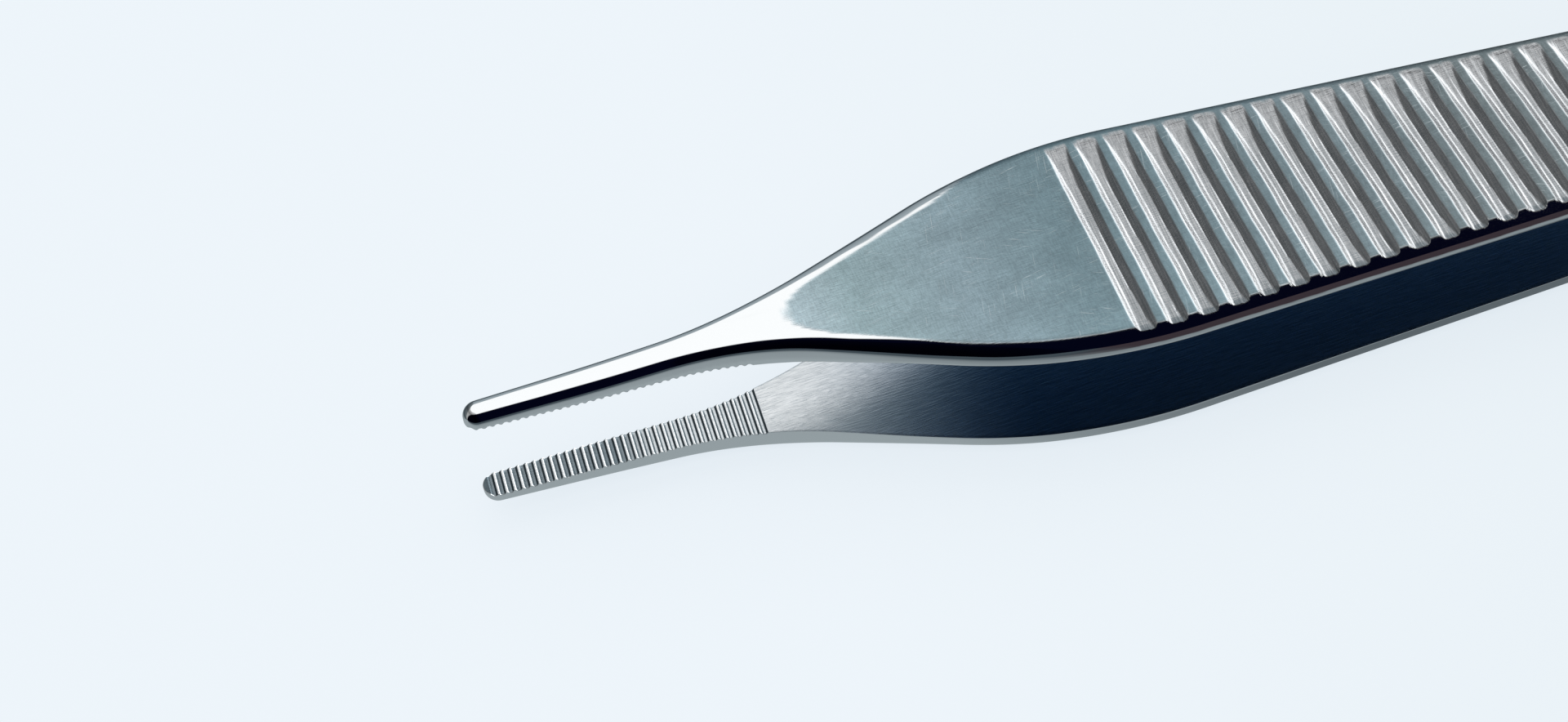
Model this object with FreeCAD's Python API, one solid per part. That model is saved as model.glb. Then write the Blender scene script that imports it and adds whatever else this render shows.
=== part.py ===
import FreeCAD, Part
import math
import os

# Dressing thumb forceps: two forged steel arms welded face to face at the heel.
# x runs from the tips to the heel. The lower arm is modelled as it lies, with the outer
# face of its grip plate flat on z = 0, and the upper arm is its mirror image in the
# mid-plane of the pair. Millimetres.

# Outline seen from above
length = 120.0
tip_width = 1.4
jaw_root_at = 13.3
jaw_root_width = 1.9
shoulder_at = 27.9
shoulder_width = 13.9
taper_end_at = 73.0
heel_width = 8.7
root_sweep = 21.0
shoulder_sweep = 26.0
taper_sweep = 60.0
heel_corner = 3.0

# Bow seen from the side: the gaps are between the inner faces of the open pair
tip_gap = 5.5
crook_at = 14.5
crook_gap = 5.24
plate_at = 21.0
plate_gap = 5.58
bow_gap = 3.16
bow_to_weld = 21.0
weld_length = 11.0
jaw_top_at = 15.5
crook_bend = 60.0
plate_bend = 60.0
jaw_top_bend = 60.0
bow_bend = 450.0
weld_bend = 60.0

# Arm thickness
tip_thickness = 0.74
plate_thickness = 1.04

# Rounding of the outer edges, limited by the thinnest wall
edge_round = 0.62
edge_round_share = 0.88

# Cross flutes on the grip plates, flat-floored with sloping walls
flute_start = 31.1
flute_pitch = 1.5
flute_count = 20
flute_width = 1.02
flute_floor = 0.36
flute_depth = 0.26

# Serrations on the inner faces of the jaws, V-shaped
tooth_start = 0.66
tooth_pitch = 0.4
tooth_count = 33
tooth_width = 0.33
tooth_depth = 0.15

# Cutting tools overshoot the faces that they open
overshoot = 1.0

# Places counted from the heel, so that a longer pair gets longer plates
weld_at = length - weld_length
bow_at = weld_at - bow_to_weld

# Angle between the grip plate and the mid-plane of the pair
splay = math.atan2((plate_gap - bow_gap) / 2, bow_at - plate_at)


def tangent_arc(before, corner, after, radius):
    """Arc of the given radius that rounds a corner, as its start, middle and end."""
    back = (before - corner).normalize()
    ahead = (after - corner).normalize()
    half_angle = back.getAngle(ahead) / 2
    reach = radius / math.tan(half_angle)
    bisector = (back + ahead).normalize()
    centre = corner + bisector * (radius / math.sin(half_angle))
    return corner + back * reach, centre - bisector * radius, corner + ahead * reach


def bent_chain(corners, radii):
    """Straight edges between the corners, with a tangent arc at each inner corner."""
    edges = []
    start = corners[0]
    for i, radius in enumerate(radii, 1):
        begin, middle, end = tangent_arc(corners[i - 1], corners[i], corners[i + 1], radius)
        edges.append(Part.LineSegment(start, begin).toShape())
        edges.append(Part.Arc(begin, middle, end).toShape())
        start = end
    edges.append(Part.LineSegment(start, corners[-1]).toShape())
    return edges


def on_line(first, second, x):
    """Point above x on the straight line through two points."""
    return first + (second - first) * ((x - first.x) / (second.x - first.x))


def plan_point(x, width):
    return FreeCAD.Vector(x, width / 2, 0)


def mirrored(point):
    return FreeCAD.Vector(point.x, -point.y, point.z)


def nose_tangent():
    """Where the round nose of the jaw meets the straight side of the jaw."""
    slope = (jaw_root_width - tip_width) / 2 / jaw_root_at
    run = math.hypot(1, slope)
    radius = tip_width / 2 / (run - slope)
    return FreeCAD.Vector(radius - radius * slope / run, radius / run, 0)


def plan_face():
    """Outline of the arm from above: slim jaw, flared shoulder, tapering plate, heel."""
    nose = nose_tangent()
    far_corners = [
        nose,
        plan_point(jaw_root_at, jaw_root_width),
        plan_point(shoulder_at, shoulder_width),
        plan_point(taper_end_at, heel_width),
        plan_point(length, heel_width),
        plan_point(length, 0),
    ]
    radii = [root_sweep, shoulder_sweep, taper_sweep, heel_corner]
    far_side = bent_chain(far_corners, radii)
    near_side = bent_chain([mirrored(point) for point in far_corners], radii)
    nose_arc = Part.Arc(mirrored(nose), plan_point(0, 0), nose).toShape()
    edges = Part.__sortEdges__([nose_arc] + far_side + near_side)
    return Part.Face(Part.Wire(edges))


def laid(x, height):
    """A point of the lower arm, height below the mid-plane, with its plate laid flat."""
    plate_depth = plate_gap / 2 + plate_thickness
    plate_drop = plate_at * math.sin(splay) + plate_depth * math.cos(splay)
    turned_x = x * math.cos(splay) - height * math.sin(splay)
    turned_z = -x * math.sin(splay) - height * math.cos(splay)
    return FreeCAD.Vector(turned_x, 0, turned_z + plate_drop)


def with_ends(corners):
    """The corners of a side profile, with both ends carried past the outline."""
    first = on_line(corners[0], corners[1], -overshoot)
    last = on_line(corners[-2], corners[-1], length + overshoot)
    return [first] + corners[1:-1] + [last]


def inner_corners():
    """Side profile of the inner face: jaw, crook, plate, bow and weld."""
    return with_ends([
        laid(0, tip_gap / 2),
        laid(crook_at, crook_gap / 2),
        laid(plate_at, plate_gap / 2),
        laid(bow_at, bow_gap / 2),
        laid(weld_at, 0),
        laid(length, 0),
    ])


def outer_corners():
    """Side profile of the outer face: jaw, plate, bow and weld."""
    plate = laid(plate_at, plate_gap / 2 + plate_thickness)
    bow = laid(bow_at, bow_gap / 2 + plate_thickness)
    return with_ends([
        laid(0, tip_gap / 2 + tip_thickness),
        on_line(plate, bow, jaw_top_at),
        bow,
        laid(weld_at, plate_thickness),
        laid(length, plate_thickness),
    ])


def bow_face():
    """Side profile of the lower arm between its inner and its outer face."""
    inner = inner_corners()
    outer = outer_corners()
    edges = bent_chain(inner, [crook_bend, plate_bend, bow_bend, weld_bend])
    edges += bent_chain(outer, [jaw_top_bend, bow_bend, weld_bend])
    edges.append(Part.LineSegment(inner[0], outer[0]).toShape())
    edges.append(Part.LineSegment(inner[-1], outer[-1]).toShape())
    return Part.Face(Part.Wire(Part.__sortEdges__(edges)))


def outer_rim(blade):
    """Edges around the outer face of a blade, found as the border of its under side."""
    under_faces = []
    for face in blade.Faces:
        u_min, u_max, v_min, v_max = face.ParameterRange
        if face.normalAt((u_min + u_max) / 2, (v_min + v_max) / 2).z < -0.9:
            under_faces.append(face)
    edges = [edge for face in under_faces for edge in face.Edges]
    rim = []
    for edge in edges:
        if sum(1 for other in edges if other.isSame(edge)) == 1:
            rim.append(edge)
    return rim


def plain_blade():
    """Lower arm with its bow, outline and rounded outer edges, not yet cut."""
    reach = shoulder_width / 2 + overshoot
    plan = plan_face()
    plan.translate(FreeCAD.Vector(0, 0, -overshoot))
    profile = bow_face()
    profile.translate(FreeCAD.Vector(0, -reach, 0))
    column = plan.extrude(FreeCAD.Vector(0, 0, plate_gap + 2 * overshoot))
    blade = column.common(profile.extrude(FreeCAD.Vector(0, 2 * reach, 0))).Solids[0]
    wall = min(tip_thickness, plate_thickness, tip_width / 2)
    radius = min(edge_round, edge_round_share * wall)
    return blade.makeFillet(radius, outer_rim(blade))


def cross_cutters(first, along, inward, section, reach, pitch, count):
    """Straight cutters across the arm, their section given as (along, inward) points."""
    tools = []
    for i in range(count):
        middle = first + along * (i * pitch) - FreeCAD.Vector(0, reach, 0)
        points = [middle + along * step + inward * depth for step, depth in section]
        wire = Part.makePolygon(points + points[:1])
        tools.append(Part.Face(wire).extrude(FreeCAD.Vector(0, 2 * reach, 0)))
    return tools


def flute_cutters():
    """Trapezium cutters that leave flat-floored flutes across the outer plate."""
    along = FreeCAD.Vector(1, 0, 0)
    inward = FreeCAD.Vector(0, 0, 1)
    wall = (flute_width - flute_floor) / 2 / flute_depth
    mouth = flute_width / 2 + wall * overshoot
    section = [
        (-flute_floor / 2, flute_depth),
        (flute_floor / 2, flute_depth),
        (mouth, -overshoot),
        (-mouth, -overshoot),
    ]
    first = FreeCAD.Vector(flute_start, 0, 0)
    reach = shoulder_width / 2 + overshoot
    return cross_cutters(first, along, inward, section, reach, flute_pitch, flute_count)


def tooth_cutters(first_tooth):
    """V-shaped cutters that leave the serrations on the inner face of the jaw."""
    tip, crook = inner_corners()[:2]
    along = (crook - tip).normalize()
    inward = FreeCAD.Vector(along.z, 0, -along.x)
    mouth = tooth_width / 2 / tooth_depth * (tooth_depth + overshoot)
    section = [(0, tooth_depth), (mouth, -overshoot), (-mouth, -overshoot)]
    first = on_line(tip, crook, first_tooth)
    reach = jaw_root_width + overshoot
    return cross_cutters(first, along, inward, section, reach, tooth_pitch, tooth_count)


def arm(first_tooth):
    """An arm as the lower one lies, with flutes outside and teeth inside."""
    return plain_blade().cut(flute_cutters() + tooth_cutters(first_tooth)).Solids[0]


def forceps():
    """The two arms by name, their teeth half a pitch apart so that they interlock."""
    mid_normal = FreeCAD.Vector(math.sin(splay), 0, math.cos(splay))
    lower = arm(tooth_start + tooth_pitch / 2)
    upper = arm(tooth_start).mirror(laid(0, 0), mid_normal)
    boxes = [shape.optimalBoundingBox(False) for shape in (upper, lower)]
    middle = (min(box.XMin for box in boxes) + max(box.XMax for box in boxes)) / 2
    for shape in (upper, lower):
        shape.translate(FreeCAD.Vector(-middle, 0, 0))
    return {"upper_arm": upper, "lower_arm": lower}


os.makedirs("parts", exist_ok=True)
for name, shape in forceps().items():
    shape.exportStep("parts/" + name + ".step")
    print(name, shape.isValid(), round(shape.Volume, 2), shape.BoundBox)
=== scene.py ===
"""Looks of the dressing thumb forceps: two fine meshes of brushed and polished steel, a pale
floor, soft studio light and the photograph's camera.

The arm sizes repeat the driving sizes of the solids, in millimetres, apart from the edges, the
flutes and the teeth, which are finer here. The lower arm is worked out as it lies, x from the
tips to the heel and its grip plate flat on z = 0, and the upper arm is its mirror image in the
mid-plane of the pair.
"""

import math

import bmesh
import bpy
import numpy as np
from mathutils import Matrix, Vector


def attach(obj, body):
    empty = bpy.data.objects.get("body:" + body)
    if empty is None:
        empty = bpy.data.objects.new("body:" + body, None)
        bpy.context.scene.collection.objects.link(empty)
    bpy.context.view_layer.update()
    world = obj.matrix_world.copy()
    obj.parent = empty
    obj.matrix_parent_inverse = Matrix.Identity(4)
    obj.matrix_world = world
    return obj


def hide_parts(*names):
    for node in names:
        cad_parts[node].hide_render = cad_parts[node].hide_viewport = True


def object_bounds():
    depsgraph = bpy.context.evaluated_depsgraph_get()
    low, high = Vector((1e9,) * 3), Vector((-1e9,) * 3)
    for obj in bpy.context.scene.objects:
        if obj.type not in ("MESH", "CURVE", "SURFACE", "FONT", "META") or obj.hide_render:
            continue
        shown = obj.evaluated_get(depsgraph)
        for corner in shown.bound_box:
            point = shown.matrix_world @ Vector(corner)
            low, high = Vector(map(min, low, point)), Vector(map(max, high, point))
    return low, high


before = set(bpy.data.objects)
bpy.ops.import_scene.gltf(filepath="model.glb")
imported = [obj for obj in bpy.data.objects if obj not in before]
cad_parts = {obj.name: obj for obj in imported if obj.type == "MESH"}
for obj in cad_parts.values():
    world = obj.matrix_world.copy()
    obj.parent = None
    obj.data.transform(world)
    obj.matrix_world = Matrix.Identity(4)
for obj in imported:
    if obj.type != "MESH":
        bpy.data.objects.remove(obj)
cad_low, cad_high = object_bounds()

MM = 0.001

# Outline seen from above
LENGTH = 120.0
TIP_WIDTH = 1.4
JAW_ROOT_AT = 13.3
JAW_ROOT_WIDTH = 1.9
SHOULDER_AT = 27.9
SHOULDER_WIDTH = 13.9
TAPER_END_AT = 73.0
HEEL_WIDTH = 8.7
ROOT_SWEEP = 21.0
SHOULDER_SWEEP = 26.0
TAPER_SWEEP = 60.0
HEEL_CORNER = 3.0

# Bow seen from the side
TIP_GAP = 5.5
CROOK_AT = 14.5
CROOK_GAP = 5.24
PLATE_AT = 21.0
PLATE_GAP = 5.58
BOW_GAP = 3.16
BOW_TO_WELD = 21.0
WELD_LENGTH = 11.0
JAW_TOP_AT = 15.5
CROOK_BEND = 60.0
PLATE_BEND = 60.0
JAW_TOP_BEND = 60.0
BOW_BEND = 450.0
WELD_BEND = 60.0

# Side profiles are carried past both ends of the outline by this much
OVERSHOOT = 1.0

# Thickness and edges
TIP_THICKNESS = 0.74
PLATE_THICKNESS = 1.04
EDGE_ROUND = 0.75
JAW_EDGE_ROUND = 0.45
EDGE_ROUND_FROM = 12.0
EDGE_ROUND_TO = 23.0
INNER_EDGE_ROUND = 0.05

# The jaws of the real pair are bent in a little further, the upper one most
UPPER_JAW_DROOP = 0.28
LOWER_JAW_LIFT = 0.13
JAW_BENT_BETWEEN = (5.0, 16.0)

# Cross flutes of the outer faces
FLUTE_START = 31.0
FLUTE_PITCH = 1.5
FLUTE_COUNT = 20
FLUTE_WIDTH = 1.05
FLUTE_FLOOR = 0.36
FLUTE_DEPTH = 0.26
FLUTE_TOP_ROUND = 0.03
FLUTE_FOOT_ROUND = 0.05
FLUTE_WANDER = 0.02
FLUTE_END_INSET = 0.6
FLUTE_END_UNEVEN = 0.07
FLUTE_END_RAGGED = 6.0
FLUTE_END_FLARE = 0.1
FLUTE_FLARE_REACH = 1.0
FLUTE_END_RUN = 4.0
FLUTE_NEAR_SHARE = 0.3
FLUTE_GROWTH = 0.12
FLUTE_FINISH_DEPTH = 0.02
FLUTE_LEAST_DEPTH = 0.002
FLUTE_LEAN = [(26.5, 0), (30.5, -0.036), (45, -0.066), (60.5, -0.066), (66, 0)]

# Fine line along the foot of each flute, with a hump beside it placed in widths of the line
FOOT_LINE_AT = 0.16
FOOT_LINE_WIDTH = 0.06
FOOT_LINE_DEPTH = 0.022
FOOT_LINE_UNEVEN = 0.5
FOOT_HUMP_AT = 1.8
FOOT_HUMP_SHARE = 0.5

# Uneven grinding: lengths of its waves, factors that scatter their phases, and a seed for each
# edge that wanders
WANDER_PERIODS = (7.3, 3.1, 1.7)
WANDER_NUMBER = 12.9898
WANDER_WAVE = 4.7
WANDER_SEED = 78.233
WANDER_SCATTER = 43.7
WANDER_FALL = 1.5
FLUTE_END_SEED = 3
FOOT_LINE_SEED = 9

# Serrations of the inner faces, with one more at the tip than the solids have
TOOTH_START = 0.26
TOOTH_PITCH = 0.4
TOOTH_COUNT = 34
TOOTH_WIDTH = 0.33
TOOTH_DEPTH = 0.1
TOOTH_FLOOR = 0.1
# Groove floors near the tip keep this share of their depth in the painted shade, so they stay
# darker
TOOTH_FLOOR_TONE = 0.72

# Mesh steps: along the arm in millimetres, then as counts along and round it, and the least
# room between neighbouring sections
PLAIN_STEP = 0.35
HEEL_STEP = 0.6
STEPS_PER_FLUTE = 28
FACE_STEPS = 18
BEVEL_STEPS = 2
WALL_STEPS = 2
FILLET_STEPS = 10
CORNER_STEPS = 12
INSET_STEPS = 8
FLUTE_ROOM = 0.1
SEAM_ROOM = 0.02
NOSE_ROOM = 0.01
TURN_ROOM = 0.03

# Satin field of the outer face: everything nearer the edges and the jaw is polished
SATIN_FROM = 15.7
SATIN_FAR_INSET = (1.0, 0.15)
SATIN_NEAR_INSET = (0.84, 0.56)
SATIN_FAR_SPREAD_AT = (23.5, 27.5)
SATIN_NEAR_SPREAD_AT = (18.5, 23.5)
SATIN_BLUR = 0.08
SATIN_NOSE = 0.6
SATIN_NOSE_WIDTH = 1.6

# Inner faces: painted shade along the plates, and painted shade in the grooves between the teeth
# and at the tip, lighter towards the root
INNER_PAINTED_SHADE_AT = (14.5, 27.0)
TIP_PAINTED_SHADE = 0.5
TIP_FADE = 0.3
TOOTH_LIGHT_AT = (4.5, 9.0)

# Clean-up of the meshes, in millimetres and degrees
WELD_DISTANCE = 0.0005
SHARP_ANGLE = 32

# The photograph's camera, its angles and distance measured from the pair's mid-plane
IMAGE_SIZE = (1920, 884)
AIM_AT = 27.0
AIM_PIXEL = (1247.33, 372.52)
CAMERA_ANGLES = (-8.4, 51.02, -8.81)
CAMERA_DISTANCE = 142.6
FOCAL_PIXELS = 3644.31
SENSOR_WIDTH = 36.0
CAMERA_CLIP = (0.005, 10.0)

# Stage, in metres and linear colours: how the floor looks, and how it shows in reflections,
# with painted shade and painted light that only the reflections show
FLOOR_SIZE = 6.0
FLOOR_CLEARANCE = 0.0001
SHADOW_REACH = 0.012
PALE = (0.85, 0.91, 0.96, 1)
PALE_HEEL = (0.82, 0.885, 0.93, 1)
PALE_FADE = (-0.045, -0.005)
FLOOR_SHADOW = (0.72, 0.79, 0.85, 1)
FLOOR_NEAR = (0.36, 0.41, 0.43, 1)
FLOOR_PAINTED_SHADE_FAR = (0.06, 0.08, 0.095, 1)
FLOOR_FAR_AT = (0.005, 0.022)
# Painted shadow under the plate and painted light past the heel, seen only in reflections
FLOOR_PAINTED_SHADOW_UNDER = (0.13, 0.155, 0.17, 1)
FLOOR_UNDER_FROM = (-0.038, -0.02)
FLOOR_UNDER_TO = (0.0075, 0.009)
FLOOR_PAINTED_LIGHT_PAST_HEEL = (1.2, 1.2, 1.2, 1)
FLOOR_PAST_HEEL_FROM = (0.04, 0.08)
PAST_HEEL_SLANT = -0.5
FLOOR_SHADE = (0.05, 0.037, 0.045, 1)
SHADE_SLANT = 0.1
SHADE_EDGE = (0.0094, 0.0112)
SHADE_FROM = (-0.036, -0.028)
SKY_STRENGTH = 2.0
NAVY = (0.0008, 0.0012, 0.007, 1)

# Sky colours round the length of the forceps, in degrees from the far horizon over the top
SKY_AROUND = [
    (-180, NAVY),
    (-145, NAVY),
    (-135, (0.3, 0.34, 0.36, 1)),
    (-20, (0.3, 0.34, 0.36, 1)),
    (0, (0.20, 0.24, 0.26, 1)),
    (43, (0.34, 0.39, 0.42, 1)),
    (47, (1, 1, 1, 1)),
    (66, (1, 1, 1, 1)),
    (74, NAVY),
    (180, NAVY),
]

# Sky brightness along the forceps, and a soft light past the heel, by the x part of the direction
SKY_ALONG = [
    (-1, 0.24),
    (-0.6, 0.2),
    (-0.4, 0.1),
    (-0.1, 0.3),
    (-0.08, 0.52),
    (-0.05, 0.6),
    (1, 0.6),
]
HEEL_LIGHT = (1.4, 1.4, 1.4, 1)
HEEL_LIGHT_FROM = (0.48, 0.62)

# Steel, linear colours. The satin tones, the steel's own colour with a painted reflection that
# darkens from the jaw to the heel, go by the place along the arm in millimetres, and the satin
# field's middle and the reach of its lighter edges, a painted sheen, are in metres
POLISHED = (0.80, 0.82, 0.83, 1)
SATIN_TONES_AND_PAINTED_LIGHT = [
    (16.5, (0.55, 0.68, 0.73, 1)),
    (19.0, (0.385, 0.51, 0.54, 1)),
    (24.0, (0.315, 0.415, 0.46, 1)),
    (29.5, (0.21, 0.30, 0.335, 1)),
    (42.0, (0.20, 0.26, 0.285, 1)),
    (51.0, (0.165, 0.20, 0.21, 1)),
]
# Painted sheen towards both edges of the satin field
SATIN_EDGE_PAINTED_SHEEN = 0.2
SATIN_MIDDLE = 0.0015
SATIN_EDGE_REACH = 0.0077
SATIN_CLOUDS = 0.2
SATIN_WEAVE = 0.32
SCRATCH_COLOUR = (0.72, 0.78, 0.80, 1)
SCRATCH_STRENGTH = 0.45
FLUTE_DARK = (0.31, 0.325, 0.335, 1)
FLUTE_LIGHT = (0.48, 0.49, 0.50, 1)
INNER_DARK = (0.66, 0.69, 0.71, 1)
INNER_LIGHT = (0.94, 0.96, 0.97, 1)
PLATE_PAINTED_SHADE_DEEP = (0.08, 0.17, 0.28, 1)
PLATE_PAINTED_SHADE_PALE = (0.13, 0.24, 0.37, 1)
POLISHED_ROUGHNESS = 0.05
SATIN_ROUGHNESS = 0.4
FLUTE_ROUGHNESS = 0.24
INNER_ROUGHNESS = 0.3
# Colours by depth between the teeth: bright crests, and painted shade in the grooves that lifts at
# their floor
TOOTH_PAINTED_SHADE_TONES = [
    (0.0, (0.92, 0.94, 0.95, 1)),
    (0.10, (0.92, 0.94, 0.95, 1)),
    (0.22, (0.10, 0.13, 0.15, 1)),
    (0.62, (0.13, 0.17, 0.19, 1)),
    (0.72, (0.26, 0.31, 0.34, 1)),
    (0.86, (0.22, 0.27, 0.30, 1)),
    (1.0, (0.80, 0.84, 0.86, 1)),
]
TOOTHED_FROM = (-0.02, -0.01)
POLISH_WAVES = 5.0
FLUTE_BUMP = 0.4
BUMP_STRENGTH = 0.25
BUMP_DISTANCE = 0.00002

# Grains of the finishes: angle from x in degrees, size across and size along in millimetres
BRUSHED_GRAIN = (4, 0.06, 0.9)
GROUND_GRAIN = (90, 0.07, 3.0)
WAVE_GRAIN = (0, 0.9, 3.0)
CLOUD_GRAIN = (20, 1.5, 2.5)
WEAVE_GRAINS = [(4, 0.05, 0.5), (94, 0.07, 0.35)]
NOISE_RANGE = (0.3, 0.7)
WEAVE_RANGE = (0.7, 1.3)

# Scratches: angle and the noise level that they start from, then the sizes of lines and patches
SCRATCHES = [(12, 0.66), (-24, 0.68), (80, 0.68)]
SCRATCH_SIZE = (0.05, 2.4)
SCRATCH_BLUR = 0.06
PATCH_SIZE = (1.6, 2.2)
PATCH_TURN = 40
PATCH_RANGE = (0.5, 0.62)

WELD_AT = LENGTH - WELD_LENGTH
BOW_AT = WELD_AT - BOW_TO_WELD
SPLAY = math.atan2((PLATE_GAP - BOW_GAP) / 2, BOW_AT - PLATE_AT)
PLATE_DROP = PLATE_AT * math.sin(SPLAY) + (PLATE_GAP / 2 + PLATE_THICKNESS) * math.cos(SPLAY)


def unit(vector):
    return vector / np.linalg.norm(vector)


def rounded(corners, radii, x):
    """Heights above x of a polyline whose inner corners are rounded by tangent arcs."""
    corners = [np.array(corner, float) for corner in corners]
    height = np.interp(x, [c[0] for c in corners], [c[1] for c in corners])
    for before, corner, after, radius in zip(corners, corners[1:], corners[2:], radii):
        back = unit(before - corner)
        ahead = unit(after - corner)
        half_angle = math.acos(back @ ahead) / 2
        reach = radius / math.tan(half_angle)
        centre = corner + unit(back + ahead) * (radius / math.sin(half_angle))
        first = corner[0] + back[0] * reach
        last = corner[0] + ahead[0] * reach
        side = np.sign(corner[1] - centre[1])
        arc = centre[1] + side * np.sqrt(np.maximum(radius**2 - (x - centre[0]) ** 2, 0))
        height = np.where((x >= first) & (x <= last), arc, height)
    return height


def inset_width(x, inset):
    """Half width of the arm's outline at x, moved inwards by inset."""
    corners = [
        (0, TIP_WIDTH / 2),
        (JAW_ROOT_AT, JAW_ROOT_WIDTH / 2),
        (SHOULDER_AT, SHOULDER_WIDTH / 2),
        (TAPER_END_AT, HEEL_WIDTH / 2),
        (LENGTH, HEEL_WIDTH / 2),
    ]
    slopes = [(b[1] - a[1]) / (b[0] - a[0]) for a, b in zip(corners, corners[1:])]
    starts = [a[1] - s * a[0] - inset * math.hypot(1, s) for a, s in zip(corners, slopes)]
    moved = [(0, starts[0])]
    for i in range(len(slopes) - 1):
        at = (starts[i + 1] - starts[i]) / (slopes[i] - slopes[i + 1])
        moved.append((at, starts[i] + slopes[i] * at))
    moved.append((LENGTH, starts[-1] + slopes[-1] * LENGTH))
    radii = [ROOT_SWEEP + inset, SHOULDER_SWEEP - inset, TAPER_SWEEP + inset]
    return rounded(moved, radii, x)


def laid(x, depth):
    """A point of the lower arm, depth below the mid-plane, with its plate laid flat."""
    turned_x = x * math.cos(SPLAY) - depth * math.sin(SPLAY)
    turned_z = -x * math.sin(SPLAY) - depth * math.cos(SPLAY)
    return turned_x, turned_z + PLATE_DROP


def on_line(first, second, x):
    share = (x - first[0]) / (second[0] - first[0])
    return x, first[1] + (second[1] - first[1]) * share


def with_ends(corners):
    """The corners of a side profile, with both ends carried past the outline."""
    first = on_line(corners[0], corners[1], -OVERSHOOT)
    last = on_line(corners[-2], corners[-1], LENGTH + OVERSHOOT)
    return [first] + corners[1:-1] + [last]


def inner_height(x):
    """Height of the lower arm's inner face at x, before its teeth."""
    corners = with_ends([
        laid(0, TIP_GAP / 2),
        laid(CROOK_AT, CROOK_GAP / 2),
        laid(PLATE_AT, PLATE_GAP / 2),
        laid(BOW_AT, BOW_GAP / 2),
        laid(WELD_AT, 0),
        laid(LENGTH, 0),
    ])
    return rounded(corners, [CROOK_BEND, PLATE_BEND, BOW_BEND, WELD_BEND], x)


def outer_height(x):
    """Height of the lower arm's outer face at x, before its flutes."""
    plate = laid(PLATE_AT, PLATE_GAP / 2 + PLATE_THICKNESS)
    bow = laid(BOW_AT, BOW_GAP / 2 + PLATE_THICKNESS)
    corners = with_ends([
        laid(0, TIP_GAP / 2 + TIP_THICKNESS),
        on_line(plate, bow, JAW_TOP_AT),
        bow,
        laid(WELD_AT, PLATE_THICKNESS),
        laid(LENGTH, PLATE_THICKNESS),
    ])
    return rounded(corners, [JAW_TOP_BEND, BOW_BEND, WELD_BEND], x)


def tooth_depth(x, first_tooth):
    """Depth of the serrations at x, V-shaped with a narrow floor."""
    number = np.clip(np.round((x - first_tooth) / TOOTH_PITCH), 0, TOOTH_COUNT - 1)
    offset = np.abs(x - first_tooth - number * TOOTH_PITCH)
    share = (TOOTH_WIDTH / 2 - offset) / (TOOTH_WIDTH / 2 - TOOTH_FLOOR / 2)
    return TOOTH_DEPTH * np.clip(share, 0, 1)


def smooth(value, low, high):
    """0 below low, 1 above high, eased in between."""
    share = np.clip((value - low) / (high - low), 0, 1)
    return share * share * (3 - 2 * share)


def edge_round(x):
    """Radius of the rounded outer edge: tighter along the jaw than round the plate."""
    share = smooth(x, EDGE_ROUND_FROM, EDGE_ROUND_TO)
    return JAW_EDGE_ROUND + (EDGE_ROUND - JAW_EDGE_ROUND) * share


def wander(number, y, seed):
    """Slow, uneven drift of a ground edge across the plate, from -1 to 1 or so."""
    drift = np.zeros_like(y)
    for wave, period in enumerate(WANDER_PERIODS):
        phase = np.sin((number + 1) * (WANDER_NUMBER + WANDER_WAVE * wave) + seed * WANDER_SEED)
        phase = phase * WANDER_SCATTER
        drift += np.sin(2 * math.pi * (y / period + phase)) / (wave + WANDER_FALL)
    return drift


def run_out(distance):
    """Share of its full depth that a flute has at a distance from where it ends."""
    return 1 - (1 - np.clip(distance / FLUTE_END_RUN, 0, 1)) ** 2


def foot_line(number, offset, y):
    """Depth of the fine line along the foot of a flute, with a low hump beside it."""
    across = (offset - FOOT_LINE_AT) / FOOT_LINE_WIDTH
    line = np.exp(-(across**2)) - FOOT_HUMP_SHARE * np.exp(-((across + FOOT_HUMP_AT) ** 2))
    return line * FOOT_LINE_DEPTH * (1 + FOOT_LINE_UNEVEN * wander(number, y, FOOT_LINE_SEED))


def flute_depth(x, y):
    """Depth of the cross flutes at a point of the outer face.

    Their walls keep one slope, so where a flute runs out its floor widens. They run out over
    the near edge and end just short of the far one.
    """
    number = np.clip(np.round((x - FLUTE_START) / FLUTE_PITCH), 0, FLUTE_COUNT - 1)
    offset = x - FLUTE_START - number * FLUTE_PITCH
    half_width = FLUTE_WIDTH / 2 + FLUTE_WANDER * wander(number, y, np.sign(offset))
    to_end = inset_width(x, 0) - y - FLUTE_END_INSET
    uneven = wander(number, FLUTE_END_RAGGED * offset, FLUTE_END_SEED)
    to_end = to_end + FLUTE_END_UNEVEN * uneven
    half_width = half_width + FLUTE_END_FLARE * (1 - smooth(to_end, 0, FLUTE_FLARE_REACH))
    to_start = inset_width(x, 0) + y + FLUTE_NEAR_SHARE * FLUTE_END_RUN
    growth = 1 + FLUTE_GROWTH * (2 * number / FLUTE_COUNT - 1)
    deepest = FLUTE_DEPTH * growth * run_out(to_end) * run_out(to_start)
    foot = foot_line(number, offset, y) * run_out(to_end)
    wall = (half_width - np.abs(offset)) * 2 * FLUTE_DEPTH / (FLUTE_WIDTH - FLUTE_FLOOR)
    low = np.sqrt(wall**2 + FLUTE_TOP_ROUND**2)
    high = np.sqrt((wall - deepest) ** 2 + FLUTE_FOOT_ROUND**2)
    depth = (deepest + low - high) / 2 + foot * np.clip(deepest / FLUTE_DEPTH, 0, 1)
    return np.where(to_end > 0, np.maximum(depth - FLUTE_LEAST_DEPTH, 0), 0)


def lean(points):
    """The points with the flutes turned a little across the plate, as the real ones are."""
    leant = points.copy()
    slope = np.interp(points[..., 0], [x for x, _ in FLUTE_LEAN], [s for _, s in FLUTE_LEAN])
    leant[..., 0] += slope * points[..., 1]
    return leant


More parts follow.
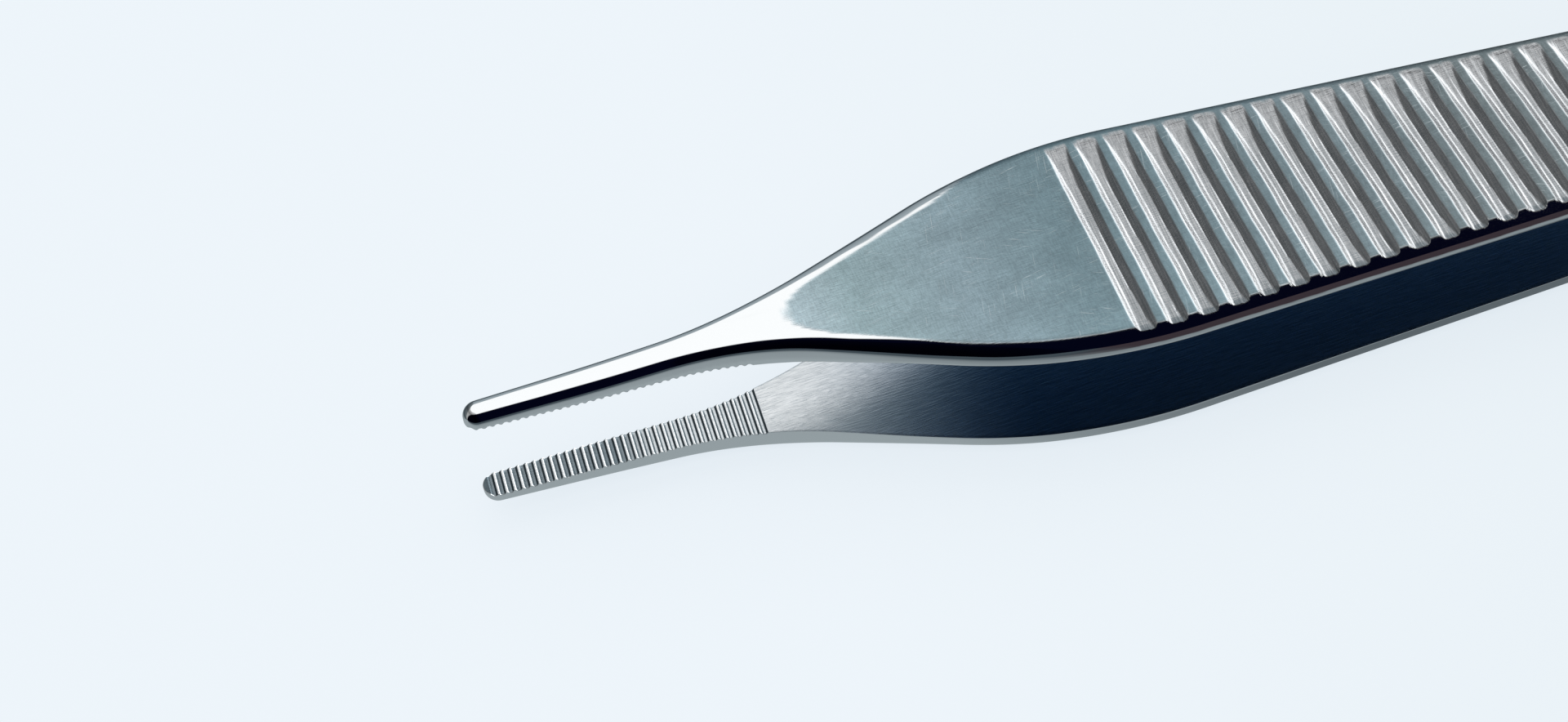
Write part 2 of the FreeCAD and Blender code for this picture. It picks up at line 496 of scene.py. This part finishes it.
def nose_radius():
    slope = (JAW_ROOT_WIDTH - TIP_WIDTH) / 2 / JAW_ROOT_AT
    return TIP_WIDTH / 2 / (math.hypot(1, slope) - slope)


def tooth_lines(first_tooth):
    """Places along the jaw where the serrations need a line of the mesh."""
    steps = np.array([-TOOTH_WIDTH, -TOOTH_FLOOR, TOOTH_FLOOR, TOOTH_WIDTH]) / 2
    lines = [first_tooth + i * TOOTH_PITCH + steps for i in range(TOOTH_COUNT)]
    return np.concatenate(lines)


def stations(first_tooth):
    """Places along the arm of the mesh's cross sections, from the nose to the heel."""
    teeth = tooth_lines(first_tooth)
    flutes_from = FLUTE_START - FLUTE_PITCH / 2
    flutes_to = flutes_from + FLUTE_COUNT * FLUTE_PITCH
    plain = np.arange(teeth[-1] + PLAIN_STEP, flutes_from - FLUTE_ROOM, PLAIN_STEP)
    flutes = np.linspace(flutes_from, flutes_to, FLUTE_COUNT * STEPS_PER_FLUTE + 1)
    heel = np.linspace(flutes_to, LENGTH - HEEL_CORNER, round((LENGTH - flutes_to) / HEEL_STEP))
    seam = nose_radius()
    return np.concatenate([[seam], teeth[teeth > seam + SEAM_ROOM], plain, flutes, heel[1:]])


def face_shares():
    """Places across a flat face, 0 at its centre line and 1 at its edge, closer near the edge."""
    even = [i / FACE_STEPS for i in range(FACE_STEPS + 1)]
    return [0.5 * share + 0.5 * math.sin(share * math.pi / 2) for share in even]


def bevel_steps(inner):
    """Small bevel of the inner edge, as (inset, share of the width, height) steps."""
    steps = []
    for i in range(1, BEVEL_STEPS + 1):
        turn = math.pi / 2 * i / BEVEL_STEPS
        inset = INNER_EDGE_ROUND * (1 - math.sin(turn))
        drop = INNER_EDGE_ROUND * (1 - math.cos(turn))
        steps.append((inset, 1, lambda x, y, drop=drop: inner(x, y) - drop))
    return steps


def rim_steps(room, radius, stop):
    """Side wall and rounded outer edge, as (inset, share of the width, height) steps."""
    start = np.arcsin(np.clip(1 - room / radius, 0, 1))
    wall_foot = np.minimum(room, radius)
    rim = [(0, room + (wall_foot - room) * i / WALL_STEPS) for i in range(1, WALL_STEPS)]
    for i in range(FILLET_STEPS + 1):
        turn = start + (stop - start) * i / FILLET_STEPS
        rim.append((radius * (1 - np.cos(turn)), radius * (1 - np.sin(turn))))
    return [(inset, 1, lambda x, y, rise=rise: outer_height(x) + rise) for inset, rise in rim]


def half_ring(place, first_tooth, side):
    """Points round one half of each cross section, from the inner to the outer centre line.

    place(inset) gives the x and y of the outline moved inwards by inset, one per section.
    """

    def inner(x, y):
        return inner_height(x) - tooth_depth(x, first_tooth)

    def outer(x, y):
        return outer_height(x) + flute_depth(x, y)

    x, y = place(0)
    radius = edge_round(x)
    room = inner(x, y) - INNER_EDGE_ROUND - outer_height(x)
    stop = np.arcsin(np.clip(1 - flute_depth(x, y * side) / radius, 0, 1))
    outer_inset = radius * (1 - np.cos(stop))
    shares = face_shares()
    steps = [(INNER_EDGE_ROUND, share, inner) for share in shares]
    steps += bevel_steps(inner) + rim_steps(room, radius, stop)
    steps += [(outer_inset, share, outer) for share in reversed(shares[:-1])]
    points = []
    for inset, share, height in steps:
        x, y = place(inset)
        y = y * share * side
        points.append(np.stack([x, y, height(x, y)], 1))
    return np.stack(points, 1)


def column_place(x):
    """Outline at each x, for insets that are one number or one per section."""
    insets = np.linspace(0, EDGE_ROUND, INSET_STEPS + 1)
    table = np.stack([inset_width(x, inset) for inset in insets], 1)

    def place(inset):
        inset = np.broadcast_to(inset, x.shape)
        step = insets[1]
        low = np.minimum((inset / step).astype(int), len(insets) - 2)
        rows = np.arange(len(x))
        rest = inset / step - low
        return x, table[rows, low] * (1 - rest) + table[rows, low + 1] * rest

    return place


def corner_place(centre, radius, angles):
    """Outline of a round corner at each angle, measured from the x axis."""

    def place(inset):
        return (
            centre[0] + (radius - inset) * np.cos(angles),
            centre[1] + (radius - inset) * np.sin(angles),
        )

    return place


def nose_angles(first_tooth):
    """Directions round the nose, from its tip to its seam, with one at each tooth line."""
    radius = nose_radius()
    teeth = tooth_lines(first_tooth)
    teeth = teeth[(teeth > INNER_EDGE_ROUND) & (teeth < radius - NOSE_ROOM)]
    turns = math.pi - np.arccos((radius - teeth) / (radius - INNER_EDGE_ROUND))
    even = np.linspace(math.pi, math.pi / 2, CORNER_STEPS + 1)[:-1]
    even = [turn for turn in even if all(abs(turn - other) > TURN_ROOM for other in turns)]
    return np.sort(np.concatenate([even, turns]))[::-1]


def satin_mask(x, y):
    """1 in the satin field of the outer face, and 0 where that face is polished."""
    inset = inset_width(x, 0) - np.abs(y)
    at_jaw = np.where(y > 0, SATIN_FAR_INSET[0], SATIN_NEAR_INSET[0])
    at_plate = np.where(y > 0, SATIN_FAR_INSET[1], SATIN_NEAR_INSET[1])
    far_share = smooth(x, *SATIN_FAR_SPREAD_AT)
    share = np.where(y > 0, far_share, smooth(x, *SATIN_NEAR_SPREAD_AT))
    limit = at_jaw + (at_plate - at_jaw) * share
    satin = smooth(inset - limit, -SATIN_BLUR, SATIN_BLUR)
    nose = SATIN_FROM + SATIN_NOSE * np.minimum(np.abs(y), SATIN_NOSE_WIDTH) ** 2
    satin = satin * smooth(x - nose, -2 * SATIN_BLUR, 2 * SATIN_BLUR)
    return satin * smooth(LENGTH - x - SATIN_NEAR_INSET[0], -SATIN_BLUR, SATIN_BLUR)


def tooth_shade_mask(x, first_tooth):
    """How deep between the teeth each point is, up to 1, and -1 past the teeth, as a mask of
    painted shade that lightens towards the root, with painted shade at the tip.
    """
    root = smooth(x, *TOOTH_LIGHT_AT)
    tone = TOOTH_FLOOR_TONE + (1 - TOOTH_FLOOR_TONE) * root
    tooth = tooth_depth(x, first_tooth) / TOOTH_DEPTH * tone
    tip = TIP_PAINTED_SHADE * (1 - smooth(x, first_tooth - TIP_FADE, first_tooth))
    return np.where(x < TOOTH_START + TOOTH_COUNT * TOOTH_PITCH, np.maximum(tooth, tip), -1)


def finish_masks(rings, first_tooth):
    """How polished, fluted, far inside and deep between teeth each point is, 0 to 1; the last two
    carry painted shade.
    """
    count = rings.shape[1]
    place = np.minimum(np.arange(count), count - np.arange(count))
    x, y = rings[..., 0], rings[..., 1]
    inner = np.broadcast_to(place <= FACE_STEPS, x.shape) * 1.0
    flat = np.broadcast_to(place >= count // 2 - FACE_STEPS, x.shape)
    outer = np.broadcast_to(place >= count // 2 - FACE_STEPS - FILLET_STEPS, x.shape)
    flute = np.clip(flute_depth(x, y) / FLUTE_FINISH_DEPTH, 0, 1)
    return {
        "polish": np.where(outer, 1 - satin_mask(x, y), 1.0),
        "flute": np.where(flat, flute, 0),
        "inner": inner,
        # plate and tooth drive painted shade on the inner faces
        "plate": inner * smooth(x, *INNER_PAINTED_SHADE_AT),
        "tooth": tooth_shade_mask(x, first_tooth) * inner,
    }


def heel_end(ring):
    """Strips that close the heel between the two halves of its last cross section."""
    half = ring.shape[0] // 2 + 1
    chain = ring[FACE_STEPS:half - FACE_STEPS]
    shares = ring[:FACE_STEPS + 1, 1] / ring[FACE_STEPS, 1]
    shares = np.concatenate([shares[::-1], -shares[1:]])
    rows = []
    for share in shares:
        row = chain.copy()
        row[:, 1] *= share
        rows.append(row)
    return np.stack(rows)


def grid_faces(rows, columns, start, closed):
    """Quads of a grid of points, numbered row by row from start."""
    last = columns if closed else columns - 1
    faces = []
    for i in range(rows - 1):
        for j in range(last):
            k = (j + 1) % columns
            a = start + i * columns
            faces.append((a + j, a + k, a + columns + k, a + columns + j))
    return faces


def arm_points(first_tooth):
    """Cross sections of the lower arm as it lies, and the strips that close its heel."""
    radius = nose_radius()
    corner_centre = (LENGTH - HEEL_CORNER, HEEL_WIDTH / 2 - HEEL_CORNER)
    heel_angles = np.linspace(math.pi / 2, 0, CORNER_STEPS + 1)[1:]
    places = [
        corner_place((radius, 0), radius, nose_angles(first_tooth)),
        column_place(stations(first_tooth)),
        corner_place(corner_centre, HEEL_CORNER, heel_angles),
    ]
    rings = []
    for place in places:
        left = half_ring(place, first_tooth, 1)
        right = half_ring(place, first_tooth, -1)
        rings.append(np.concatenate([left, right[:, -2:0:-1]], 1))
    rings = np.concatenate(rings)
    return rings, heel_end(rings[-1])


def mirrored(points):
    """Points of the lower arm moved to the upper one, across the mid-plane of the pair."""
    normal = np.array([math.sin(SPLAY), 0, math.cos(SPLAY)])
    height = (points - [0, 0, PLATE_DROP]) @ normal
    return points - 2 * height[..., None] * normal


def arm_mesh(first_tooth, upper):
    """Points, quads and finish of an arm, in millimetres from the tip of the lower one."""
    rings, end = arm_points(first_tooth)
    masks = finish_masks(rings, first_tooth)
    for name, mask in masks.items():
        rest = np.full(end.shape[0] * end.shape[1], float(name == "polish"))
        masks[name] = np.concatenate([mask.ravel(), rest])
    faces = grid_faces(rings.shape[0], rings.shape[1], 0, True)
    faces += grid_faces(end.shape[0], end.shape[1], rings.shape[0] * rings.shape[1], False)
    points = lean(np.concatenate([rings.reshape(-1, 3), end.reshape(-1, 3)]))
    if upper:
        points = mirrored(points)
    bent = -UPPER_JAW_DROOP if upper else LOWER_JAW_LIFT
    points[:, 2] += bent * (1 - smooth(points[:, 0], *JAW_BENT_BETWEEN))
    return points, faces, masks


def make_piece(name, points, faces, masks):
    """A closed, smooth mesh object from points in millimetres."""
    mesh = bpy.data.meshes.new(name)
    mesh.from_pydata((points * MM).tolist(), [], faces)
    for mask_name, values in masks.items():
        attribute = mesh.attributes.new(mask_name, "FLOAT", "POINT")
        attribute.data.foreach_set("value", values.astype(np.float32))
    body = bmesh.new()
    body.from_mesh(mesh)
    bmesh.ops.remove_doubles(body, verts=body.verts, dist=WELD_DISTANCE * MM)
    bmesh.ops.recalc_face_normals(body, faces=body.faces)
    body.to_mesh(mesh)
    body.free()
    mesh.validate()
    mesh.shade_smooth()
    mesh.set_sharp_from_angle(angle=math.radians(SHARP_ANGLE))
    piece = bpy.data.objects.new(name, mesh)
    bpy.context.scene.collection.objects.link(piece)
    return piece


def plug(tree, value, socket):
    """Links a socket to the value if that is a socket too, or sets it."""
    if isinstance(value, bpy.types.NodeSocket):
        tree.links.new(value, socket)
    else:
        socket.default_value = value


def add_node(tree, kind, inputs=(), **settings):
    node = tree.nodes.new("ShaderNode" + kind)
    for name, value in settings.items():
        setattr(node, name, value)
    for name, value in dict(inputs).items():
        plug(tree, value, node.inputs[name])
    return node


def calculate(tree, operation, *values):
    """Result of a Math node on numbers or sockets."""
    inputs = dict(enumerate(values))
    return add_node(tree, "Math", inputs, operation=operation).outputs[0]


def blend_colours(tree, share, first, second):
    """Colour first where share is 0 and second where it is 1."""
    node = add_node(tree, "Mix", {0: share, 6: first, 7: second}, data_type="RGBA")
    return node.outputs[2]


def multiply_colours(tree, first, second):
    inputs = {0: 1.0, 6: first, 7: second}
    node = add_node(tree, "Mix", inputs, data_type="RGBA", blend_type="MULTIPLY")
    return node.outputs[2]


def blend_values(tree, share, first, second):
    """Value first where share is 0 and second where it is 1."""
    return add_node(tree, "Mix", {0: share, 2: first, 3: second}).outputs[0]


def ramp(tree, value, stops):
    """Colour ramp over the value, its stops given as (place, colour)."""
    node = add_node(tree, "ValToRGB", {"Fac": value})
    elements = node.color_ramp.elements
    while len(elements) > 1:
        elements.remove(elements[-1])
    elements[0].position = stops[0][0]
    elements[0].color = stops[0][1]
    for place, colour in stops[1:]:
        elements.new(place).color = colour
    return node.outputs["Color"]


def grey(level):
    return (level, level, level, 1)


def grain(tree, angle, across, along, detail=2.0):
    """Noise drawn out along a direction: angle from x in degrees, sizes in millimetres."""
    place = add_node(tree, "TexCoord").outputs["Object"]
    turned = add_node(tree, "Mapping", {"Vector": place, "Rotation": (0, 0, math.radians(-angle))})
    scales = (1 / (along * MM), 1 / (across * MM), 1 / (across * MM))
    drawn = add_node(tree, "Mapping", {"Vector": turned.outputs[0], "Scale": scales})
    inputs = {"Vector": drawn.outputs[0], "Scale": 1.0, "Detail": detail}
    return add_node(tree, "TexNoise", inputs).outputs["Fac"]


def threshold(tree, value, low, high):
    """0 below low, 1 above high, and even in between."""
    inputs = {"Value": value, "From Min": low, "From Max": high}
    return add_node(tree, "MapRange", inputs).outputs[0]


def scratches(tree):
    """Fine straight scratches in a few directions, in patches."""
    total = 0.0
    for angle, low in SCRATCHES:
        lines = grain(tree, angle, *SCRATCH_SIZE, 1.0)
        lines = threshold(tree, lines, low, low + SCRATCH_BLUR)
        patch = grain(tree, angle + PATCH_TURN, *PATCH_SIZE, 1.0)
        patch = threshold(tree, patch, *PATCH_RANGE)
        total = calculate(tree, "MULTIPLY_ADD", lines, patch, total)
    return calculate(tree, "MINIMUM", total, 1.0)


def satin_painted_light(tree, x, y, shift):
    """Tone of the satin field along the arm, partly painted reflection, and its gain towards both
    edges of the plate, a painted sheen.
    """
    last = SATIN_TONES_AND_PAINTED_LIGHT[-1][0]
    along = threshold(tree, x, shift * MM, (shift + last) * MM)
    tone = ramp(tree, along, [(at / last, colour) for at, colour in SATIN_TONES_AND_PAINTED_LIGHT])
    side = calculate(tree, "ABSOLUTE", calculate(tree, "SUBTRACT", SATIN_MIDDLE, y))
    side = calculate(tree, "POWER", side, 2.0)
    side = threshold(tree, side, 0.0, SATIN_EDGE_REACH**2)
    return tone, calculate(tree, "MULTIPLY_ADD", side, SATIN_EDGE_PAINTED_SHEEN, 1.0)


def satin_colour(tree, shift):
    """Brushed steel with soft clouds, a fine weave and a few scratches, over a tone that is partly
    painted reflection.
    """
    place = add_node(tree, "SeparateXYZ", {0: add_node(tree, "TexCoord").outputs["Object"]})
    tone, gain = satin_painted_light(tree, place.outputs["X"], place.outputs["Y"], shift)
    clouds = threshold(tree, grain(tree, *CLOUD_GRAIN, 3.0), *NOISE_RANGE)
    clouds = calculate(tree, "MULTIPLY_ADD", clouds, SATIN_CLOUDS, 1 - SATIN_CLOUDS / 2)
    weave = calculate(tree, "ADD", *(grain(tree, *sizes) for sizes in WEAVE_GRAINS))
    weave = threshold(tree, weave, *WEAVE_RANGE)
    weave = calculate(tree, "MULTIPLY_ADD", weave, SATIN_WEAVE, 1 - SATIN_WEAVE / 2)
    gain = calculate(tree, "MULTIPLY", calculate(tree, "MULTIPLY", gain, clouds), weave)
    gain = add_node(tree, "CombineColor", dict.fromkeys(range(3), gain)).outputs[0]
    tone = multiply_colours(tree, tone, gain)
    share = calculate(tree, "MULTIPLY", scratches(tree), SCRATCH_STRENGTH)
    return blend_colours(tree, share, tone, SCRATCH_COLOUR)


def inside_colour(tree, brushed, plate, tooth):
    """Inner faces: light at the jaw, painted shade along the plate, and painted shade between the
    teeth.
    """
    inside = blend_colours(tree, brushed, INNER_DARK, INNER_LIGHT)
    shaded_inside = blend_colours(tree, brushed, PLATE_PAINTED_SHADE_DEEP, PLATE_PAINTED_SHADE_PALE)
    inside = blend_colours(tree, plate, inside, shaded_inside)
    toothed = threshold(tree, tooth, *TOOTHED_FROM)
    return blend_colours(tree, toothed, inside, ramp(tree, tooth, TOOTH_PAINTED_SHADE_TONES))


def steel_normal(tree, brushed, ground, polish, flute, inner):
    """Fine relief of the brushed and ground faces, and soft waves in the polished ones."""
    height = calculate(tree, "MULTIPLY", brushed, calculate(tree, "SUBTRACT", 1.0, polish))
    ground = calculate(tree, "MULTIPLY", ground, FLUTE_BUMP)
    height = calculate(tree, "MULTIPLY_ADD", ground, flute, height)
    height = calculate(tree, "MULTIPLY_ADD", brushed, inner, height)
    waves = calculate(tree, "MULTIPLY", grain(tree, *WAVE_GRAIN, 0.0), POLISH_WAVES)
    bare = calculate(tree, "SUBTRACT", polish, inner)
    height = calculate(tree, "MULTIPLY_ADD", waves, bare, height)
    inputs = {"Height": height, "Strength": BUMP_STRENGTH, "Distance": BUMP_DISTANCE}
    return add_node(tree, "Bump", inputs).outputs[0]


def steel(shift):
    """Stainless steel: satin plates, polished jaws and edges, bright ground flutes."""
    material = bpy.data.materials.new("steel")
    material.use_nodes = True
    tree = material.node_tree
    shader = tree.nodes["Principled BSDF"]
    shader.inputs["Metallic"].default_value = 1.0
    polish, flute, inner, plate, tooth = (
        add_node(tree, "Attribute", attribute_name=name).outputs["Fac"]
        for name in ("polish", "flute", "inner", "plate", "tooth")
    )
    brushed = threshold(tree, grain(tree, *BRUSHED_GRAIN), *NOISE_RANGE)
    ground = threshold(tree, grain(tree, *GROUND_GRAIN), *NOISE_RANGE)

    colour = blend_colours(tree, polish, satin_colour(tree, shift), POLISHED)
    floors = blend_colours(tree, ground, FLUTE_DARK, FLUTE_LIGHT)
    colour = blend_colours(tree, flute, colour, floors)
    # Painted shade on the inner plates and in the grooves between the teeth
    inside = inside_colour(tree, brushed, plate, tooth)
    colour = blend_colours(tree, inner, colour, inside)
    tree.links.new(colour, shader.inputs["Base Color"])

    rough = blend_values(tree, polish, SATIN_ROUGHNESS, POLISHED_ROUGHNESS)
    rough = blend_values(tree, flute, rough, FLUTE_ROUGHNESS)
    rough = blend_values(tree, inner, rough, INNER_ROUGHNESS)
    tree.links.new(rough, shader.inputs["Roughness"])

    normal = steel_normal(tree, brushed, ground, polish, flute, inner)
    tree.links.new(normal, shader.inputs["Normal"])
    return material


def build_arms():
    """Both arms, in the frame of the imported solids."""
    lower = arm_mesh(TOOTH_START + TOOTH_PITCH / 2, False)
    upper = arm_mesh(TOOTH_START, True)
    shift = cad_low.x / MM - min(lower[0][:, 0].min(), upper[0][:, 0].min())
    material = steel(shift)
    for name, (points, faces, masks) in (("lower_blade", lower), ("upper_blade", upper)):
        piece = make_piece(name, points + [shift, 0, 0], faces, masks)
        piece.data.materials.append(material)
        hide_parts(name.replace("blade", "arm"))
        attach(piece, "root")
    return shift


def camera_axes():
    """Right, up and back of the camera, as rows, in the frame of the pair's mid-plane."""
    azimuth, elevation, roll = (math.radians(angle) for angle in CAMERA_ANGLES)
    back = np.array([
        math.sin(azimuth) * math.cos(elevation),
        -math.cos(azimuth) * math.cos(elevation),
        math.sin(elevation),
    ])
    right = unit(np.cross([0, 0, 1], back))
    up = np.cross(back, right)
    turned_right = right * math.cos(roll) + up * math.sin(roll)
    turned_up = up * math.cos(roll) - right * math.sin(roll)
    return np.array([turned_right, turned_up, back])


def make_camera(shift):
    """The photograph's camera: AIM_AT on the mid-plane line shows at AIM_PIXEL."""
    axes = camera_axes()
    scale = CAMERA_DISTANCE / FOCAL_PIXELS
    offset = np.array([
        (IMAGE_SIZE[0] / 2 - AIM_PIXEL[0]) * scale,
        (AIM_PIXEL[1] - IMAGE_SIZE[1] / 2) * scale,
        CAMERA_DISTANCE,
    ])
    place = np.array([AIM_AT, 0, 0]) + axes.T @ offset
    turn = Matrix.Rotation(SPLAY, 3, "Y")
    data = bpy.data.cameras.new("camera")
    data.sensor_fit = "HORIZONTAL"
    data.sensor_width = SENSOR_WIDTH
    data.lens = FOCAL_PIXELS / IMAGE_SIZE[0] * SENSOR_WIDTH
    data.clip_start, data.clip_end = CAMERA_CLIP
    camera = bpy.data.objects.new("camera", data)
    bpy.context.scene.collection.objects.link(camera)
    rotation = turn @ Matrix(axes.T.tolist())
    location = turn @ Vector(place) + Vector((shift, 0, PLATE_DROP))
    camera.matrix_world = Matrix.Translation(location * MM) @ rotation.to_4x4()
    bpy.context.scene.camera = camera


def seen_or_reflected(tree, seen, reflected):
    """One colour where the camera looks straight at it, and another in reflections."""
    straight = add_node(tree, "LightPath").outputs["Is Camera Ray"]
    return blend_colours(tree, straight, reflected, seen)


def floor_seen(tree, x):
    """Floor as the camera sees it: pale, with a faint contact shadow round the plate."""
    hollow = add_node(tree, "AmbientOcclusion", {"Distance": SHADOW_REACH}, samples=8)
    pale = blend_colours(tree, threshold(tree, x, *PALE_FADE), PALE, PALE_HEEL)
    return blend_colours(tree, hollow.outputs["AO"], FLOOR_SHADOW, pale)


def floor_reflected(tree, x, y):
    """Floor as the steel reflects it: painted shade far off, a painted shadow under the plate,
    painted light past the heel and painted shade on the near side.
    """
    aside = calculate(tree, "ABSOLUTE", y)
    far = threshold(tree, aside, *FLOOR_FAR_AT)
    reflected = blend_colours(tree, far, FLOOR_NEAR, FLOOR_PAINTED_SHADE_FAR)
    under = calculate(tree, "SUBTRACT", 1.0, threshold(tree, aside, *FLOOR_UNDER_TO))
    under = calculate(tree, "MULTIPLY", under, threshold(tree, x, *FLOOR_UNDER_FROM))
    reflected = blend_colours(tree, under, reflected, FLOOR_PAINTED_SHADOW_UNDER)
    past_heel = calculate(tree, "MULTIPLY_ADD", aside, PAST_HEEL_SLANT, x)
    past_heel = threshold(tree, past_heel, *FLOOR_PAST_HEEL_FROM)
    reflected = blend_colours(tree, past_heel, reflected, FLOOR_PAINTED_LIGHT_PAST_HEEL)
    shade = calculate(tree, "SUBTRACT", calculate(tree, "MULTIPLY", x, SHADE_SLANT), y)
    shade = threshold(tree, shade, *SHADE_EDGE)
    shade = calculate(tree, "MULTIPLY", shade, threshold(tree, x, *SHADE_FROM))
    return blend_colours(tree, shade, reflected, FLOOR_SHADE)


def floor_material():
    material = bpy.data.materials.new("floor")
    material.use_nodes = True
    tree = material.node_tree
    tree.nodes.clear()
    place = add_node(tree, "SeparateXYZ", {0: add_node(tree, "TexCoord").outputs["Object"]})
    x, y = place.outputs["X"], place.outputs["Y"]
    colour = seen_or_reflected(tree, floor_seen(tree, x), floor_reflected(tree, x, y))
    glow = add_node(tree, "Emission", {"Color": colour})
    add_node(tree, "OutputMaterial", {"Surface": glow.outputs[0]})
    return material


def make_floor():
    """A wide floor just under the lower grip plate."""
    half = FLOOR_SIZE / 2
    corners = [(-half, -half, 0), (half, -half, 0), (half, half, 0), (-half, half, 0)]
    mesh = bpy.data.meshes.new("floor")
    mesh.from_pydata(corners, [], [(0, 1, 2, 3)])
    mesh.materials.append(floor_material())
    floor = bpy.data.objects.new("floor", mesh)
    bpy.context.scene.collection.objects.link(floor)
    floor.location.z = -FLOOR_CLEARANCE


def make_light():
    """Soft studio light as a sky: white over the far side, dark over the near side."""
    world = bpy.data.worlds.new("studio")
    bpy.context.scene.world = world
    world.use_nodes = True
    tree = world.node_tree
    direction = add_node(tree, "TexCoord").outputs["Generated"]
    parts = add_node(tree, "SeparateXYZ", {0: direction}).outputs
    around = calculate(tree, "ARCTAN2", parts["Z"], parts["Y"])
    around = threshold(tree, around, -math.pi, math.pi)
    sky = ramp(tree, around, [((angle + 180) / 360, colour) for angle, colour in SKY_AROUND])
    along = threshold(tree, parts["X"], -1.0, 1.0)
    side = ramp(tree, along, [((x + 1) / 2, grey(level)) for x, level in SKY_ALONG])
    sky = multiply_colours(tree, sky, side)
    past_heel = threshold(tree, parts["X"], *HEEL_LIGHT_FROM)
    sky = blend_colours(tree, past_heel, sky, HEEL_LIGHT)
    sky = multiply_colours(tree, sky, grey(SKY_STRENGTH))
    background = tree.nodes["Background"]
    tree.links.new(seen_or_reflected(tree, PALE, sky), background.inputs["Color"])
    bpy.context.scene.view_settings.view_transform = "Standard"


shift = build_arms()
make_camera(shift)
make_floor()
make_light()
